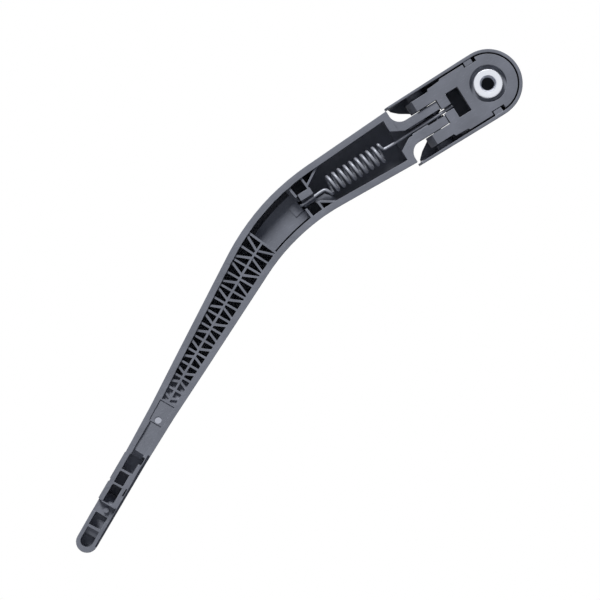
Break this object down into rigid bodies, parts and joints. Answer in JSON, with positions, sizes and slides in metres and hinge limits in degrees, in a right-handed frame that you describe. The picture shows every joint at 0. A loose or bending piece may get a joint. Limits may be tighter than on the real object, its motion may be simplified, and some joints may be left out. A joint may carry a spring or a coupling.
{
  "type": "rear wiper arm",
  "caption": "Curved rear window wiper arm with a knurled spindle insert, a hinged nut cover, a sprung folding joint and a rib lattice on its open underside.",
  "frame": {"origin": "centre of the spindle bore in the glass-side face of the head", "axes": "+X from the spindle along the head to the arm, +Z away from the glass, +Y completes the right-handed frame, the arm bends towards -Y"},
  "size_m": [0.2887, 0.1018, 0.0251],
  "materials": {
    "arm_plastic": "moulded, satin",
    "insert_metal": "plated, bright",
    "pin_steel": "turned",
    "spring_steel": "zinc plated"
  },
  "bodies": {
    "head": {"mounting_head": "arm_plastic", "spline_insert": "insert_metal", "hinge_pin_left": "pin_steel", "hinge_pin_right": "pin_steel", "anchor_pin": "pin_steel"},
    "arm": {"arm_body": "arm_plastic"},
    "spring": {"tension_spring": "spring_steel"},
    "cover": {"cap_cover": "arm_plastic"}
  },
  "joints": [
    {"name": "arm_hinge", "type": "hinge", "parent": "head", "child": "arm", "pos_m": [0.0311, 0, 0.0085], "axis": [0, -1, 0], "range_deg": [0, 50], "stiffness_Nm_per_rad": 0.3, "springref_deg": -143.24},
    {"name": "cover_hinge", "type": "hinge", "parent": "head", "child": "cover", "pos_m": [0.0311, 0, 0.0085], "axis": [0, 1, 0], "range_deg": [0, 60]},
    {"name": "spring_pivot", "type": "hinge", "parent": "head", "child": "spring", "pos_m": [0.0219, 0, 0.0045], "axis": [0, -1, 0], "range_deg": [0, 44.5], "deforming": ["tension_spring"]}
  ],
  "couplings": [
    {"joint": "spring_pivot", "follows": "arm_hinge", "ratio": 0.881}
  ]
}
